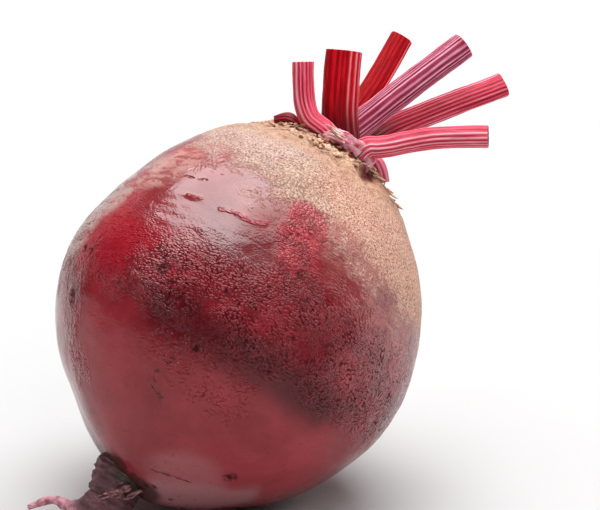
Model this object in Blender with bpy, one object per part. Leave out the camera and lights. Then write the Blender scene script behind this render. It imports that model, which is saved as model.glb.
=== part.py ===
"""A trimmed beetroot, lying on its flank with the crown up and to the right.

The swollen root, its corky crown and the tapering taproot grew as one piece, so they are one solid.
Six cut leaf stalks stand on the crown, with the stubs of older stalks round its rim.

Everything is designed in the beetroot's own upright frame: the lower pole is at the origin, +Z runs
up the axis to the crown, +X is across and -Y is the front. An empty then leans it over on its flank.
"""

import math

import bmesh
import bpy
from mathutils import Matrix, Vector, noise

# Swollen root, in metres
BELLY_RADIUS = 0.0430
BELLY_HEIGHT = 0.0444
CROWN_RISE = 0.0496
LOWER_FULLNESS = 1.75
LOWER_ROUNDNESS = 1.60

# How it lies, in metres and degrees
LEAN = 40.5
TURN = -43.7
BELLY_CENTRE = (0.0, 0.0, 0.0409)

# It grew a little lopsided: height, spread and bearing of each broad lobe, and how far it rises
LOBES = (
    (0.0170, 0.0120, 0.70, 0.0012),
    (0.0115, 0.0090, 3.14, -0.0013),
    (0.0600, 0.0140, 3.14, -0.0010),
    (0.0875, 0.0050, 3.14, 0.0009),
    (0.0820, 0.0090, 0.00, -0.0009),
)

# Relief of the skin
SWELL_DEPTH = 0.0006
SWELL_SIZE = 0.0200
KNOB_DEPTH = 0.0014
KNOB_SIZE = 0.0050
KNOB_START = 0.0840
KNOB_FULL = 0.0910
RIM_RISE = 0.0014
RIM_RADIUS = 0.0125
RIM_SPREAD = 0.0030
RIM_LEAST = 0.6
RIM_UNEVENNESS = 0.8
RIM_SHIFT = (3.0, 0.0, 0.0)

# The taproot leaves the lower pole off centre, turns on the floor and thins to a tail: points and radii
TAPROOT = (
    ((-0.0046, 0.0008, 0.0090), 0.0070),
    ((-0.0052, 0.0004, 0.0043), 0.0068),
    ((-0.0055, 0.0001, 0.0000), 0.0060),
    ((-0.0055, -0.0001, -0.0043), 0.0052),
    ((-0.0069, 0.0007, -0.0073), 0.0040),
    ((-0.0098, 0.0039, -0.0090), 0.0024),
    ((-0.0128, 0.0079, -0.0094), 0.0014),
    ((-0.0165, 0.0098, -0.0097), 0.0010),
    ((-0.0192, 0.0107, -0.0120), 0.0009),
    ((-0.0209, 0.0114, -0.0141), 0.0006),
)
WRINKLE_DEPTH = 0.0007
WRINKLE_SIZE = 0.0030

# Leaf stalks: the route from inside the crown to the cut end, the size of the section and the way that
# its ribbed back faces
STALKS = {
    "leaf_stalk_front_left": {
        "route": ((-0.0012, -0.0094, 0.0885), (-0.0018, -0.0104, 0.0925), (-0.0036, -0.0109, 0.0944),
                  (-0.0060, -0.0109, 0.0949), (-0.0085, -0.0108, 0.0955), (-0.0107, -0.0108, 0.0973),
                  (-0.0128, -0.0112, 0.1000), (-0.0164, -0.0125, 0.1059)),
        "width": 0.0047, "thickness": 0.0038, "flare": 1.15, "back": (0.0, -1.0, 0.0),
    },
    "leaf_stalk_middle": {
        "route": ((0.0026, -0.0036, 0.0880), (0.0011, -0.0042, 0.0945), (-0.0030, -0.0050, 0.1013),
                  (-0.0064, -0.0060, 0.1080), (-0.0093, -0.0070, 0.1144)),
        "width": 0.0086, "thickness": 0.0050, "flare": 1.20, "back": (0.2, -1.0, 0.0),
    },
    "leaf_stalk_back": {
        "route": ((-0.0028, 0.0070, 0.0880), (-0.0026, 0.0075, 0.0942), (-0.0006, 0.0085, 0.1042),
                  (0.0005, 0.0095, 0.1146), (0.0006, 0.0110, 0.1281)),
        "width": 0.0053, "thickness": 0.0046, "flare": 1.18, "back": (0.0, 1.0, 0.2),
    },
    "leaf_stalk_upper_right": {
        "route": ((-0.0010, 0.0012, 0.0880), (0.0000, 0.0015, 0.0960), (0.0027, 0.0015, 0.1036),
                  (0.0079, 0.0015, 0.1166), (0.0145, 0.0020, 0.1322)),
        "width": 0.0062, "thickness": 0.0044, "flare": 1.05, "back": (0.0, -1.0, 0.0),
    },
    "leaf_stalk_right": {
        "route": ((0.0036, 0.0076, 0.0880), (0.0050, 0.0080, 0.0955), (0.0086, 0.0090, 0.1052),
                  (0.0148, 0.0100, 0.1142), (0.0276, 0.0120, 0.1306)),
        "width": 0.0060, "thickness": 0.0046, "flare": 1.10, "back": (0.3, 1.0, -0.2),
    },
    "leaf_stalk_low_right": {
        "route": ((0.0062, -0.0092, 0.0885), (0.0058, -0.0104, 0.0932), (0.0067, -0.0110, 0.0958),
                  (0.0086, -0.0113, 0.0971), (0.0112, -0.0118, 0.0990), (0.0145, -0.0126, 0.1018),
                  (0.0201, -0.0142, 0.1059), (0.0297, -0.0165, 0.1112)),
        "width": 0.0050, "thickness": 0.0042, "flare": 1.22, "back": (0.2, -1.0, -0.3),
    },
    "stalk_stub_left": {
        "route": ((-0.0079, -0.0036, 0.0884), (-0.0103, -0.0041, 0.0931), (-0.0130, -0.0047, 0.0942),
                  (-0.0158, -0.0040, 0.0924)),
        "width": 0.0046, "thickness": 0.0026, "flare": 1.10, "back": (-0.3, 0.0, 1.0),
    },
    "stalk_stub_right": {
        "route": ((0.0078, -0.0040, 0.0885), (0.0086, -0.0046, 0.0935), (0.0101, -0.0052, 0.0951),
                  (0.0118, -0.0053, 0.0941), (0.0137, -0.0048, 0.0918)),
        "width": 0.0036, "thickness": 0.0024, "flare": 1.10, "back": (0.3, 0.0, 1.0),
    },
    "stalk_stub_back": {
        "route": ((0.0010, 0.0120, 0.0880), (0.0012, 0.0140, 0.0930), (0.0016, 0.0165, 0.0965)),
        "width": 0.0070, "thickness": 0.0034, "flare": 1.10, "back": (0.0, 1.0, 0.4),
    },
}
CHANNEL = 0.12
RIB_DEPTH = 0.00030
FLARE_END = 0.45
TANGENT_STEP = 0.05
CLEARANCE = 0.0003

# Facets
ROUND_SIDES = 60
BODY_RINGS = 44
ROOT_RESOLUTION = 5
ROOT_STEPS = 4
MERGE_DISTANCE = 0.00001
STALK_SIDES = 24
RINGS_PER_SPAN = 3
SHARP_ANGLE = 50.0

# Floor block that cuts the flat rest spot
BLOCK_SIZE = 0.200
BLOCK_DEPTH = 0.020


def clear_scene():
    for item in list(bpy.data.objects):
        bpy.data.objects.remove(item, do_unlink=True)


def make_collection(name, hidden=False):
    collection = bpy.data.collections.new(name)
    bpy.context.scene.collection.children.link(collection)
    collection.hide_render = hidden
    return collection


def make_material(name, colour, roughness):
    material = bpy.data.materials.new(name)
    material.use_nodes = True
    shader = material.node_tree.nodes["Principled BSDF"]
    shader.inputs["Base Color"].default_value = (*colour, 1.0)
    shader.inputs["Roughness"].default_value = roughness
    return material


def blend(low, high, value):
    """Goes smoothly from 0 at low to 1 at high."""
    share = min(max((value - low) / (high - low), 0.0), 1.0)
    return share * share * (3.0 - 2.0 * share)


def body_profile(latitude):
    """The radius and height of the smooth swollen root at a latitude."""
    if latitude >= 0.0:
        return BELLY_RADIUS * math.cos(latitude), BELLY_HEIGHT + CROWN_RISE * math.sin(latitude)
    radius = BELLY_RADIUS * max(math.cos(latitude), 0.0) ** (2.0 / LOWER_ROUNDNESS)
    drop = (-math.sin(latitude)) ** (2.0 / LOWER_FULLNESS)
    return radius, BELLY_HEIGHT * (1.0 - drop)


def body_point(direction):
    """Carries a point of the unit sphere to the skin of the swollen root."""
    latitude = math.asin(min(max(direction.z, -1.0), 1.0))
    longitude = math.atan2(direction.y, direction.x)
    radius, height = body_profile(latitude)
    lobes = 0.0
    for middle, spread, bearing, rise in LOBES:
        side = max(math.cos(longitude - bearing), 0.0) ** 2
        lobes += rise * side * math.exp(-((height - middle) / spread) ** 2)
    centre = Vector((0.0, 0.0, BELLY_HEIGHT))
    point = Vector((radius * math.cos(longitude), radius * math.sin(longitude), height))
    outward = (point - centre).normalized()
    swell = SWELL_DEPTH * noise.noise(point / SWELL_SIZE)
    knobs = KNOB_DEPTH * blend(KNOB_START, KNOB_FULL, height) * noise.noise(point / KNOB_SIZE)
    rim = math.exp(-((radius - RIM_RADIUS) / RIM_SPREAD) ** 2) * blend(KNOB_START, KNOB_FULL, height)
    rim *= RIM_RISE * (RIM_LEAST + RIM_UNEVENNESS * noise.noise(point / KNOB_SIZE + Vector(RIM_SHIFT)))
    return point + outward * (lobes + swell + knobs + rim)


def build_body(name, collection):
    bm = bmesh.new()
    bmesh.ops.create_uvsphere(bm, u_segments=ROUND_SIDES, v_segments=BODY_RINGS, radius=1.0)
    for vert in bm.verts:
        vert.co = body_point(vert.co.normalized())
    mesh = bpy.data.meshes.new(name)
    bm.to_mesh(mesh)
    bm.free()
    body = bpy.data.objects.new(name, mesh)
    collection.objects.link(body)
    return body


def build_taproot(collection):
    """A tapering curve made a mesh, with its skin wrinkled."""
    curve = bpy.data.curves.new("taproot_curve", "CURVE")
    curve.dimensions = "3D"
    curve.bevel_depth = 1.0
    curve.bevel_resolution = ROOT_RESOLUTION
    curve.resolution_u = ROOT_STEPS
    curve.use_fill_caps = True
    spline = curve.splines.new("BEZIER")
    spline.bezier_points.add(len(TAPROOT) - 1)
    for knot, (place, radius) in zip(spline.bezier_points, TAPROOT):
        knot.co = place
        knot.radius = radius
        knot.handle_left_type = "AUTO"
        knot.handle_right_type = "AUTO"
    guide = bpy.data.objects.new("taproot_curve", curve)
    collection.objects.link(guide)
    bpy.context.view_layer.update()
    evaluated = guide.evaluated_get(bpy.context.evaluated_depsgraph_get())
    mesh = bpy.data.meshes.new_from_object(evaluated)
    bm = bmesh.new()
    bm.from_mesh(mesh)
    bmesh.ops.remove_doubles(bm, verts=bm.verts, dist=MERGE_DISTANCE)
    bm.normal_update()
    for vert in bm.verts:
        thinness = blend(0.0, TAPROOT[0][1], distance_to_route(vert.co))
        vert.co += vert.normal * WRINKLE_DEPTH * thinness * noise.noise(vert.co / WRINKLE_SIZE)
    bm.to_mesh(mesh)
    bm.free()
    taproot = bpy.data.objects.new("taproot", mesh)
    taproot.matrix_world = guide.matrix_world
    collection.objects.link(taproot)
    bpy.data.objects.remove(guide, do_unlink=True)
    return taproot


def distance_to_route(point):
    return min((point - Vector(place)).length for place, radius in TAPROOT)


def route_point(route, place):
    """A point of the smooth curve through the route's points, with place from 0 to their count less 1."""
    index = min(int(place), len(route) - 2)
    share = place - index
    before = Vector(route[max(index - 1, 0)])
    start = Vector(route[index])
    end = Vector(route[index + 1])
    after = Vector(route[min(index + 2, len(route) - 1)])
    out = (end - before) / 2.0
    back = (after - start) / 2.0
    return (start * (2 * share ** 3 - 3 * share ** 2 + 1) + out * (share ** 3 - 2 * share ** 2 + share)
            + end * (3 * share ** 2 - 2 * share ** 3) + back * (share ** 3 - share ** 2))


def stalk_section(width, thickness, sides):
    """A crescent with a rib on every other corner: its back is round and its front has a shallow channel."""
    section = []
    for index in range(sides):
        angle = 2.0 * math.pi * index / sides
        rib = RIB_DEPTH if index % 2 else 0.0
        across = (width / 2.0 + rib) * math.cos(angle)
        out = (thickness / 2.0 + rib) * math.sin(angle) - CHANNEL * width * math.cos(angle) ** 2
        section.append((across, out))
    return section


def build_stalk(name, form, collection):
    """Lofts the ribbed section along its route, from a flared base to a square cut end."""
    route = form["route"]
    back = Vector(form["back"])
    spans = len(route) - 1
    count = spans * RINGS_PER_SPAN
    bm = bmesh.new()
    rings = []
    for step in range(count + 1):
        place = spans * step / count
        centre = route_point(route, place)
        ahead = route_point(route, min(place + TANGENT_STEP, spans))
        behind = route_point(route, max(place - TANGENT_STEP, 0.0))
        along = (ahead - behind).normalized()
        across = along.cross(back).normalized()
        outward = across.cross(along)
        flare = 1.0 + (form["flare"] - 1.0) * (1.0 - blend(0.0, FLARE_END * count, step))
        section = stalk_section(form["width"] * flare, form["thickness"], STALK_SIDES)
        rings.append([bm.verts.new(centre + across * x + outward * y) for x, y in section])
    for lower, upper in zip(rings[:-1], rings[1:]):
        for index in range(STALK_SIDES):
            following = (index + 1) % STALK_SIDES
            bm.faces.new((lower[index], lower[following], upper[following], upper[index]))
    bm.faces.new(reversed(rings[0]))
    bm.faces.new(rings[-1])
    bmesh.ops.recalc_face_normals(bm, faces=bm.faces)
    mesh = bpy.data.meshes.new(name)
    bm.to_mesh(mesh)
    bm.free()
    stalk = bpy.data.objects.new(name, mesh)
    collection.objects.link(stalk)
    return stalk


def build_clearance(body, collection):
    """A copy of the swollen root grown by the gap that the stalks keep to it."""
    bm = bmesh.new()
    bm.from_mesh(body.data)
    bm.normal_update()
    for vert in bm.verts:
        vert.co += vert.normal * CLEARANCE
    mesh = bpy.data.meshes.new("crown_clearance")
    bm.to_mesh(mesh)
    bm.free()
    clearance = bpy.data.objects.new("crown_clearance", mesh)
    collection.objects.link(clearance)
    return clearance


def build_floor_block(collection):
    bm = bmesh.new()
    bmesh.ops.create_cube(bm, size=1.0)
    bmesh.ops.scale(bm, vec=(BLOCK_SIZE, BLOCK_SIZE, BLOCK_DEPTH), verts=bm.verts)
    bmesh.ops.translate(bm, vec=(0.0, 0.0, -BLOCK_DEPTH / 2.0), verts=bm.verts)
    mesh = bpy.data.meshes.new("floor_block")
    bm.to_mesh(mesh)
    bm.free()
    block = bpy.data.objects.new("floor_block", mesh)
    collection.objects.link(block)
    return block


def add_boolean(target, operation, other):
    modifier = target.modifiers.new(operation.lower() + "_" + other.name, "BOOLEAN")
    modifier.operation = operation
    modifier.solver = "EXACT"
    modifier.object = other


def hide_cutter(item):
    item.hide_render = True
    item.display_type = "WIRE"


def main():
    clear_scene()
    parts = make_collection("beetroot")
    cutters = make_collection("cutters", hidden=True)
    skin = make_material("skin", (0.18, 0.020, 0.035), 0.42)
    stalk_red = make_material("stalk_red", (0.42, 0.010, 0.020), 0.35)
    stalk_pink = make_material("stalk_pink", (0.55, 0.090, 0.140), 0.35)

    lean = bpy.data.objects.new("lean", None)
    parts.objects.link(lean)
    lean.rotation_mode = "QUATERNION"
    turned = Matrix.Rotation(math.radians(LEAN), 4, "Y") @ Matrix.Rotation(math.radians(TURN), 4, "Z")
    lean.rotation_quaternion = turned.to_quaternion()
    lean.location = Vector(BELLY_CENTRE) - turned @ Vector((0.0, 0.0, BELLY_HEIGHT))

    body = build_body("beet_root", parts)
    body.data.materials.append(skin)
    taproot = build_taproot(cutters)
    clearance = build_clearance(body, cutters)
    block = build_floor_block(cutters)
    for item in (body, taproot, clearance):
        item.parent = lean
    for item in (taproot, clearance, block):
        hide_cutter(item)
    add_boolean(body, "UNION", taproot)
    add_boolean(body, "DIFFERENCE", block)

    red_stalks = ("leaf_stalk_middle", "leaf_stalk_back", "stalk_stub_left")
    for name, form in STALKS.items():
        stalk = build_stalk(name, form, parts)
        stalk.data.materials.append(stalk_red if name in red_stalks else stalk_pink)
        stalk.parent = lean
        add_boolean(stalk, "DIFFERENCE", clearance)

    for item in parts.objects:
        if item.type == "MESH":
            item.data.shade_smooth()
            item.data.set_sharp_from_angle(angle=math.radians(SHARP_ANGLE))


main()
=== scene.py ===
"""The looks of the beetroot: fine skin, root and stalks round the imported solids, with soft studio light.

The fine pieces repeat the solids' own driving dimensions and add the small relief. They are modelled in
the beetroot's upright frame, with the lower pole at the origin, +Z up the axis and -Y the front, and
then laid over on the flank by one matrix.
"""

import math
import random

import bmesh
import bpy
import numpy as np
from mathutils import Matrix, Vector, noise


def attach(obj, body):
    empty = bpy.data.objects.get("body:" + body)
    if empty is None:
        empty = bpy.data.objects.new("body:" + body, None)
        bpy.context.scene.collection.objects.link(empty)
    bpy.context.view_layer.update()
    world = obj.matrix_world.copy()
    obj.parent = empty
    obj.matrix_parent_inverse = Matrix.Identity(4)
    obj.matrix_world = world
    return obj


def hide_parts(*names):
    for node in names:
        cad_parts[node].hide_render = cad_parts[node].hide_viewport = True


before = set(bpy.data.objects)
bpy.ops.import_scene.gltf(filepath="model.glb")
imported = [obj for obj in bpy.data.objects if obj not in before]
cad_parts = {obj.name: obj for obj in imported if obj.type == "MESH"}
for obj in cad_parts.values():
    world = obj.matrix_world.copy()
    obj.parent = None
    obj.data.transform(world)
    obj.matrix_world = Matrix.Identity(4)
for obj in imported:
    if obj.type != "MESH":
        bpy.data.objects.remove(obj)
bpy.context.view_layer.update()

# Swollen root, in metres
BELLY_RADIUS = 0.043
BELLY_HEIGHT = 0.0444
CROWN_RISE = 0.0496
LOWER_FULLNESS = 1.75
LOWER_ROUNDNESS = 1.6

# How it lies, in metres and degrees
LEAN = 40.5
TURN = -43.7
BELLY_CENTRE = Vector((0.0, 0.0, 0.0409))
UP = Vector((0.0, 0.0, 1.0))

# Height, spread and bearing of each broad lobe, and how far it rises
LOBES = (
    (0.017, 0.012, 0.7, 0.0012),
    (0.0115, 0.009, 3.14, -0.0013),
    (0.06, 0.014, 3.14, -0.001),
    (0.0875, 0.005, 3.14, 0.0009),
    (0.082, 0.009, 0.0, -0.0009),
)

# Main relief, as in the solids
SWELL_DEPTH = 0.0006
SWELL_SIZE = 0.02
KNOB_DEPTH = 0.0014
KNOB_SIZE = 0.005
KNOB_START = 0.084
KNOB_FULL = 0.091
RIM_RISE = 0.0014
RIM_RADIUS = 0.0125
RIM_SPREAD = 0.003

# Fine relief, which only the looks have
LUMP_DEPTH = 0.00022
LUMP_SIZE = 0.0075
WRINKLE_DEPTH = 0.0001
WRINKLE_LENGTH = 0.005
WRINKLE_PITCH = 0.0011
GRAIN_DEPTH = 0.00005
GRAIN_SIZE = 0.0016
CORK_DEPTH = 0.00045
CORK_SIZE = 0.0022
SCAR_RISE = 0.00035
PIT_DEPTH = 0.00015
HOLLOW_DEPTH = 0.001
WRINKLE_WARP_SIZE = 0.008
WRINKLE_WARP = 0.0012
SCAR_GRAIN = 0.0012

# Heights where the leathery band starts and ends, and where the crust round the stalks starts, each a fade
BAND_FOOT = (0.03, 0.04)
BAND_TOP = (0.058, 0.066)
CRUST_EDGE = (0.082, 0.091)

# Fine relief of the taproot
ROOT_LUMP_DEPTH = 0.0007
ROOT_LUMP_SIZE = 0.003
FOLD_DEPTH = 0.00055
FOLD_SIZE = (0.0042, 0.0042, 0.0013)
ROOT_GRAIN_DEPTH = 0.00018
ROOT_GRAIN_SIZE = 0.0009

# The skin is corky above the level, measured along the tilt, after a fade to each side
CORK_TILT = (0.2226, -0.081, 1.0)
CORK_LEVEL = 0.072
CORK_FADE = 0.005

# Faces of the skin, round the axis and from pole to pole
SKIN_SEGMENTS = 396
SKIN_RINGS = 248

# Taproot: points and radii, as in the solids
TAPROOT = (
    ((-0.0046, 0.0008, 0.009), 0.007),
    ((-0.0052, 0.0004, 0.0043), 0.0068),
    ((-0.0055, 0.0001, 0.0), 0.006),
    ((-0.0055, -0.0001, -0.0043), 0.0052),
    ((-0.0069, 0.0007, -0.0073), 0.004),
    ((-0.0098, 0.0039, -0.009), 0.0024),
    ((-0.0128, 0.0079, -0.0094), 0.0014),
    ((-0.0165, 0.0098, -0.0097), 0.001),
    ((-0.0192, 0.0107, -0.012), 0.0009),
    ((-0.0209, 0.0114, -0.0141), 0.0006),
)

# Leaf stalks and stubs, as in the solids, with the number of fine ribs round each
STALKS = {
    "leaf_stalk_front_left": {
        "route": ((-0.0012, -0.0094, 0.0885), (-0.0018, -0.0104, 0.0925), (-0.0036, -0.0109, 0.0944),
                  (-0.006, -0.0109, 0.0949), (-0.0085, -0.0108, 0.0955), (-0.0107, -0.0108, 0.0973),
                  (-0.0128, -0.0112, 0.1), (-0.0164, -0.0125, 0.1059)),
        "width": 0.0047, "thickness": 0.0038, "flare": 1.15, "back": (0.0, -1.0, 0.0),
        "ribs": 15, "look": "pink",
    },
    "leaf_stalk_middle": {
        "route": ((0.0026, -0.0036, 0.088), (0.0011, -0.0042, 0.0945), (-0.003, -0.005, 0.1013),
                  (-0.0064, -0.006, 0.108), (-0.0093, -0.007, 0.1144)),
        "width": 0.0086, "thickness": 0.005, "flare": 1.2, "back": (0.2, -1.0, 0.0),
        "ribs": 20, "look": "red", "pale_ribs": (0, 1, 2, 3, 4, 19),
    },
    "leaf_stalk_back": {
        "route": ((-0.0028, 0.007, 0.088), (-0.0026, 0.0075, 0.0942), (-0.0006, 0.0085, 0.1042),
                  (0.0005, 0.0095, 0.1146), (0.0006, 0.011, 0.1281)),
        "width": 0.0053, "thickness": 0.0046, "flare": 1.18, "back": (0.0, 1.0, 0.2),
        "ribs": 15, "look": "red", "pale_ribs": (8, 9),
    },
    "leaf_stalk_upper_right": {
        "route": ((-0.001, 0.0012, 0.088), (0.0, 0.0015, 0.096), (0.0027, 0.0015, 0.1036),
                  (0.0079, 0.0015, 0.1166), (0.0145, 0.002, 0.1322)),
        "width": 0.0062, "thickness": 0.0044, "flare": 1.05, "back": (0.0, -1.0, 0.0),
        "ribs": 22, "look": "orchid", "least": 0.75,
    },
    "leaf_stalk_right": {
        "route": ((0.0036, 0.0076, 0.088), (0.005, 0.008, 0.0955), (0.0086, 0.009, 0.1052),
                  (0.0148, 0.01, 0.1142), (0.0276, 0.012, 0.1306)),
        "width": 0.006, "thickness": 0.0046, "flare": 1.1, "back": (0.3, 1.0, -0.2),
        "ribs": 17, "look": "rose",
    },
    "leaf_stalk_low_right": {
        "route": ((0.0062, -0.0092, 0.0885), (0.0058, -0.0104, 0.0932), (0.0067, -0.011, 0.0958),
                  (0.0086, -0.0113, 0.0971), (0.0112, -0.0118, 0.099), (0.0145, -0.0126, 0.1018),
                  (0.0201, -0.0142, 0.1059), (0.0297, -0.0165, 0.1112)),
        "width": 0.005, "thickness": 0.0042, "flare": 1.22, "back": (0.2, -1.0, -0.3),
        "ribs": 14, "look": "pink",
    },
    "stalk_stub_left": {
        "route": ((-0.0079, -0.0036, 0.0884), (-0.0103, -0.0041, 0.0931), (-0.013, -0.0047, 0.0942),
                  (-0.0158, -0.004, 0.0924)),
        "width": 0.0046, "thickness": 0.0026, "flare": 1.1, "back": (-0.3, 0.0, 1.0),
        "ribs": 12, "look": "stub", "tip": 0.35,
    },
    "stalk_stub_right": {
        "route": ((0.0078, -0.004, 0.0885), (0.0086, -0.0046, 0.0935), (0.0101, -0.0052, 0.0951),
                  (0.0118, -0.0053, 0.0941), (0.0137, -0.0048, 0.0918)),
        "width": 0.004, "thickness": 0.003, "flare": 1.1, "back": (0.3, 0.0, 1.0),
        "ribs": 12, "look": "pale",
    },
    "stalk_stub_back": {
        "route": ((0.001, 0.012, 0.088), (0.0012, 0.014, 0.093), (0.0016, 0.0165, 0.0965)),
        "width": 0.007, "thickness": 0.0034, "flare": 1.1, "back": (0.0, 1.0, 0.4),
        "ribs": 14, "look": "stub",
    },
}
CHANNEL = 0.12
RIB_DEPTH = 0.00024
FLARE_END = 0.45
STALK_SIDES_PER_RIB = 8
STALK_RINGS = 110
RIB_SWAY = 0.9
TANGENT_STEP = 0.05
TIP_START = 0.55
STALK_GRAIN_DEPTH = 0.00004
BULGE_DEPTH = 0.00014
CUT_GRAIN_DEPTH = 0.00007
CUT_GRAIN_SCALE = 1500.0
CUT_CREST = 0.3
END_DISH = ((0.95, -0.00002), (0.86, 0.00014), (0.6, 0.00022), (0.3, 0.00025), (0.04, 0.00025))

# Marks on the skin: bearing in degrees and height in millimetres of the two ends, and the half width
SCARS = (
    ((-113.0, 61.6), (-97.5, 63.2), 0.0005),
    ((-126.0, 61.4), (-120.0, 62.1), 0.00042),
    ((-139.0, 71.6), (-149.0, 70.3), 0.00036),
    ((140.0, 62.0), (152.0, 60.5), 0.0005),
    ((60.0, 55.0), (68.0, 56.5), 0.00045),
)
SCRATCHES = (
    ((-135.0, 66.2), (-123.0, 67.0), 0.0002),
    ((-91.0, 5.0), (-60.0, 6.6), 0.00018),
    ((-84.0, 8.9), (-75.0, 8.7), 0.00022),
    ((-111.0, 22.1), (-103.0, 20.9), 0.00018),
    ((-109.5, 22.6), (-106.0, 21.6), 0.00022),
    ((-107.0, 20.3), (-101.5, 19.0), 0.00022),
    ((-108.0, 21.0), (-105.0, 23.4), 0.00018),
    ((-103.0, 20.6), (-101.0, 17.6), 0.00018),
    ((-106.5, 26.4), (-102.0, 26.9), 0.00024),
    ((-104.0, 25.6), (-101.0, 26.1), 0.00022),
    ((35.0, 30.0), (50.0, 31.0), 0.0002),
    ((170.0, 26.0), (184.0, 27.0), 0.0002),
)
PITS = tuple((spot, spot, width) for spot, width in (
    ((-118.0, 42.9), 0.0011),
    ((-154.0, 30.3), 0.0013),
    ((-154.0, 41.9), 0.0009),
    ((-149.0, 41.0), 0.0007),
    ((-97.0, 31.3), 0.0007),
    ((-79.0, 56.8), 0.001),
    ((-87.0, 1.6), 0.0006),
    ((-74.0, 2.4), 0.0006),
    ((-38.0, 2.4), 0.0005),
    ((-49.0, 11.9), 0.0012),
    ((-165.0, 92.0), 0.001),
    ((-150.0, 92.3), 0.0012),
    ((95.0, 40.0), 0.001),
))

# Broad patches of the skin: the two ends, as bearing and height or as upright points, and the reach
PATCHES = {
    "vivid": ((-143.0, 50.0), (-136.0, 67.0), 0.0195),
    "tongue": ((-82.0, 60.0), (-86.0, 69.5), 0.0068),
    "shoulder": ((-152.0, 64.0), (-143.0, 69.0), 0.008),
    "low_grain": ((-103.0, 30.0), (-80.0, 25.8), 0.01),
    "left_strip": ((-151.0, 16.0), (-156.0, 38.0), 0.007),
    # Where the band painted dark as the dark room's reflection lies
    "low_right": ((-104.0, 32.0), (-60.0, 31.0), 0.015),
    # Peeling on the left side, with a painted rim sheen
    "left_side": ((-178.0, 20.0), (-172.0, 66.0), 0.026),
    "upper_left": ((-168.0, 47.0), (-158.0, 63.0), 0.0105),
    "lit_side": ((-50.0, 80.0), (-30.0, 62.0), 0.026),
    "peach": ((-144.0, 66.0), (-140.0, 78.0), 0.0085),
    # Painted shade at the crown's centre, under the stalks
    "crown_centre_shade": ((0.0, 0.0, 0.085), (0.0, 0.0, 0.12), 0.018),
    "earthy": ((-0.0046, 0.0006, 0.009), (-0.005, -0.001, 0.0), 0.014),
    "glare": ((-128.0, 64.0), (-93.0, 62.0), 0.0175),
    "right_stain": ((-72.0, 69.0), (-52.0, 62.0), 0.0075),
    # Painted floor reflection, paler low on the front
    "low_floor_reflection": ((-62.0, 2.6), (-26.0, 9.0), 0.0085),
    "sheen": ((-121.0, 60.5), (-89.5, 62.5), 0.0135),
    "dull": ((-88.0, 62.0), (-68.0, 50.0), 0.015),
    "calm_red": ((-103.0, 44.0), (-82.0, 48.0), 0.013),
    # Painted floor reflection, paler at the foot
    "foot_floor_reflection": ((-66.0, 7.0), (-38.0, 2.4), 0.012),
    "ashen": ((-146.0, 73.0), (-128.0, 83.0), 0.016),
}
PATCH_WARP = 0.0024
PATCH_WARP_SIZE = 0.007

# The share of its reach within which a patch or a stroke is full
FULL_SHARE = 0.45

# Hollows in the crown's edge, beside the torn leaf bases, sunk into the skin and painted near black as shade
SHADED_HOLLOWS = (
    ((-48.0, 91.2), (-60.0, 89.2), 0.003),
    ((-134.0, 90.8), (-140.0, 91.1), 0.0018),
)

# Colours of the skin, taproot, cut ends and torn leaf bases, each with the noise value where it is full
CRIMSONS = ((0.3, (0.12, 0.006, 0.011)), (0.48, (0.225, 0.011, 0.02)), (0.64, (0.34, 0.02, 0.033)))
# The mauve below is partly the skin's own tone and partly a painted floor reflection
MAUVES = ((0.35, (0.26, 0.02, 0.028)), (0.65, (0.4, 0.04, 0.053)))
TANS = ((0.32, (0.34, 0.165, 0.105)), (0.5, (0.54, 0.31, 0.22)), (0.68, (0.7, 0.47, 0.35)))
OCHRES = ((0.36, (0.11, 0.036, 0.02)), (0.46, (0.52, 0.25, 0.13)), (0.66, (0.76, 0.5, 0.32)))
MAROONS = ((0.3, (0.035, 0.013, 0.016)), (0.5, (0.13, 0.042, 0.052)), (0.7, (0.3, 0.12, 0.14)))
EARTHS = ((0.35, (0.03, 0.022, 0.016)), (0.65, (0.13, 0.105, 0.075)))
TAIL_PINKS = ((0.35, (0.42, 0.08, 0.13)), (0.6, (0.9, 0.45, 0.53)))
FLESH = ((0.35, (0.25, 0.03, 0.05)), (0.6, (0.52, 0.17, 0.19)))
SHEATH_PINKS = ((0.38, (0.52, 0.035, 0.07)), (0.46, (0.84, 0.22, 0.31)), (0.56, (0.94, 0.54, 0.61)))
SHEATH_BROWNS = ((0.34, (0.09, 0.02, 0.018)), (0.5, (0.33, 0.14, 0.085)), (0.66, (0.62, 0.39, 0.24)))

# Colours of each kind of stalk: its grooves, its body and the crests of its ribs
STALK_COLOURS = {
    "pink": ((0.5, 0.012, 0.046), (0.92, 0.108, 0.185), (0.98, 0.56, 0.64)),
    "orchid": ((0.26, 0.007, 0.04), (0.52, 0.062, 0.145), (0.92, 0.54, 0.68)),
    "pale": ((0.42, 0.04, 0.085), (0.78, 0.22, 0.31), (0.95, 0.6, 0.7)),
    "rose": ((0.33, 0.006, 0.022), (0.74, 0.045, 0.1), (0.94, 0.52, 0.64)),
    "red": ((0.36, 0.002, 0.007), (0.74, 0.01, 0.022), (0.9, 0.26, 0.3)),
    "stub": ((0.15, 0.005, 0.012), (0.32, 0.018, 0.034), (0.44, 0.05, 0.074)),
}
STALK_GLOSS = {"pink": 0.24, "orchid": 0.24, "pale": 0.24, "rose": 0.24, "red": 0.12, "stub": 0.2}

# Where the painted shade at the base of each kind of stalk starts to fade and where it ends, in units of 10
# mm
STALK_PAINTED_SHADE = {"pink": (0.45, 0.6), "orchid": (0.6, 1.1), "pale": (0.05, 0.15), "rose": (1.3, 2.4),
                "red": (0.9, 2.1), "stub": (0.3, 0.6)}

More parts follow.
